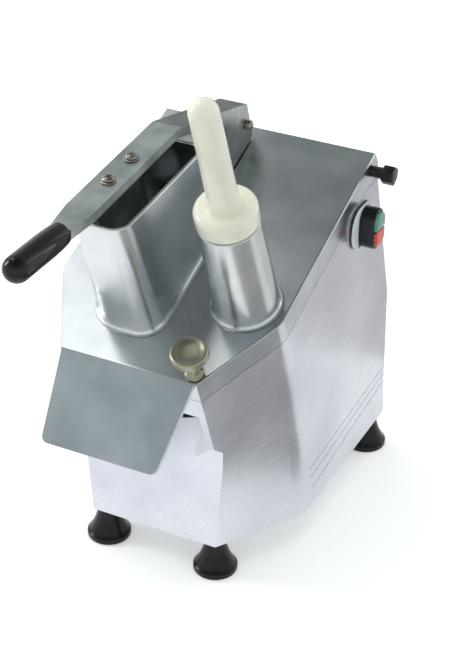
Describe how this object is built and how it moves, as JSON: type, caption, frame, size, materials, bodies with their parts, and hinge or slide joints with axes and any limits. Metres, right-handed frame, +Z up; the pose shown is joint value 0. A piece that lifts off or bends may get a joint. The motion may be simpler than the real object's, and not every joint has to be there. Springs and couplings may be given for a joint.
{
  "type": "vegetable cutting machine",
  "caption": "Bench-top vegetable cutting machine: sloping cast lid with D-shaped hopper and hand lever, round feed tube with pusher, discharge hood, slicing disc and belt drive.",
  "frame": {"origin": "centre of the whole machine's box in plan, on the bench under the feet", "axes": "+X to the operator's right, where the switch and the hinge knob are; +Y to the rear; +Z up"},
  "size_m": [0.261, 0.479, 0.512],
  "materials": {
    "cast_aluminium": "polished casting",
    "stainless_steel": "turned",
    "zinc_plated_steel": "zinc plated",
    "nickel_plate": "nickel plated, polished",
    "nylon": "moulded, natural",
    "black_plastic": "glossy",
    "black_rubber": "moulded",
    "grey_rubber": "moulded",
    "green_plastic": "moulded",
    "red_plastic": "moulded",
    "grey_enamel": "enamel",
    "board_resin": "satin",
    "tinned_can": "drawn can"
  },
  "bodies": {
    "base": {"base_casting": "cast_aluminium", "base_plate": "zinc_plated_steel", "foot_front_right": "black_rubber", "foot_front_left": "black_rubber", "foot_rear_right": "black_rubber", "foot_rear_left": "black_rubber", "bearing_housing": "cast_aluminium", "upper_bearing": "stainless_steel", "lower_bearing": "stainless_steel", "shaft_seal": "black_rubber", "motor_plate": "zinc_plated_steel", "motor_housing": "grey_enamel", "drive_belt": "black_rubber", "capacitor": "tinned_can", "capacitor_clip": "zinc_plated_steel", "control_board": "board_resin", "safety_switch": "black_plastic", "cable_gland": "black_plastic", "switch_gasket": "grey_rubber", "switch_housing": "black_plastic"},
    "lid": {"lid_casting": "cast_aluminium", "hopper_casting": "cast_aluminium", "tube_casting": "cast_aluminium"},
    "hinge_pin": {"hinge_rod": "stainless_steel", "hinge_knob": "black_plastic"},
    "lever": {"lever_casting": "cast_aluminium", "lever_grip": "black_plastic", "pusher_arm": "cast_aluminium", "pusher_plate": "cast_aluminium", "pivot_bolt": "zinc_plated_steel", "pivot_nut": "zinc_plated_steel", "lever_screw_front": "stainless_steel", "lever_screw_rear": "stainless_steel", "lever_washer_front": "stainless_steel", "lever_washer_rear": "stainless_steel"},
    "round_pusher": {"round_pusher": "nylon"},
    "latch": {"latch_knob": "nickel_plate"},
    "cutting_set": {"spindle": "stainless_steel", "drive_pin": "stainless_steel", "ejector_disc": "cast_aluminium", "slicing_disc": "cast_aluminium", "blade_1": "stainless_steel", "blade_2": "stainless_steel", "blade_3": "stainless_steel", "disc_nut": "stainless_steel", "driven_pulley": "zinc_plated_steel"},
    "motor_rotor": {"motor_shaft": "stainless_steel", "motor_pulley": "zinc_plated_steel"},
    "start_button": {"start_button": "green_plastic"},
    "stop_button": {"stop_button": "red_plastic"}
  },
  "joints": [
    {"name": "lid_hinge", "type": "hinge", "parent": "base", "child": "lid", "pos_m": [-0.004, 0.1773, 0.33841], "axis": [-1, 0, 0], "range_deg": [0, 72]},
    {"name": "hinge_pin_pull", "type": "slide", "parent": "base", "child": "hinge_pin", "axis": [1, 0, 0], "range_m": [0, 0.25]},
    {"name": "lever_lift", "type": "hinge", "parent": "lid", "child": "lever", "pos_m": [-0.028, 0.1533, 0.37089], "axis": [-1, 0, 0], "range_deg": [0, 90]},
    {"name": "round_pusher_lift", "type": "slide", "parent": "lid", "child": "round_pusher", "axis": [0, -0.3649, 0.9311], "range_m": [0, 0.15]},
    {"name": "latch_turn", "type": "hinge", "parent": "lid", "child": "latch", "pos_m": [0.0585, -0.09259, 0.24875], "axis": [0, -0.3649, 0.9311], "range_deg": [0, 90]},
    {"name": "disc_spin", "type": "hinge", "parent": "base", "child": "cutting_set", "pos_m": [-0.004, 0.00998, 0.27069], "axis": [0, -0.3649, 0.9311], "continuous": true},
    {"name": "motor_spin", "type": "hinge", "parent": "base", "child": "motor_rotor", "pos_m": [-0.004, 0.15765, 0.13093], "axis": [0, -0.3649, 0.9311], "continuous": true},
    {"name": "start_press", "type": "slide", "parent": "base", "child": "start_button", "axis": [-1, 0, 0], "range_m": [0, 0.003], "stiffness_N_per_m": 400},
    {"name": "stop_press", "type": "slide", "parent": "base", "child": "stop_button", "axis": [-1, 0, 0], "range_m": [0, 0.003], "stiffness_N_per_m": 400}
  ],
  "couplings": [
    {"joint": "motor_spin", "follows": "disc_spin", "ratio": 4.6667}
  ]
}
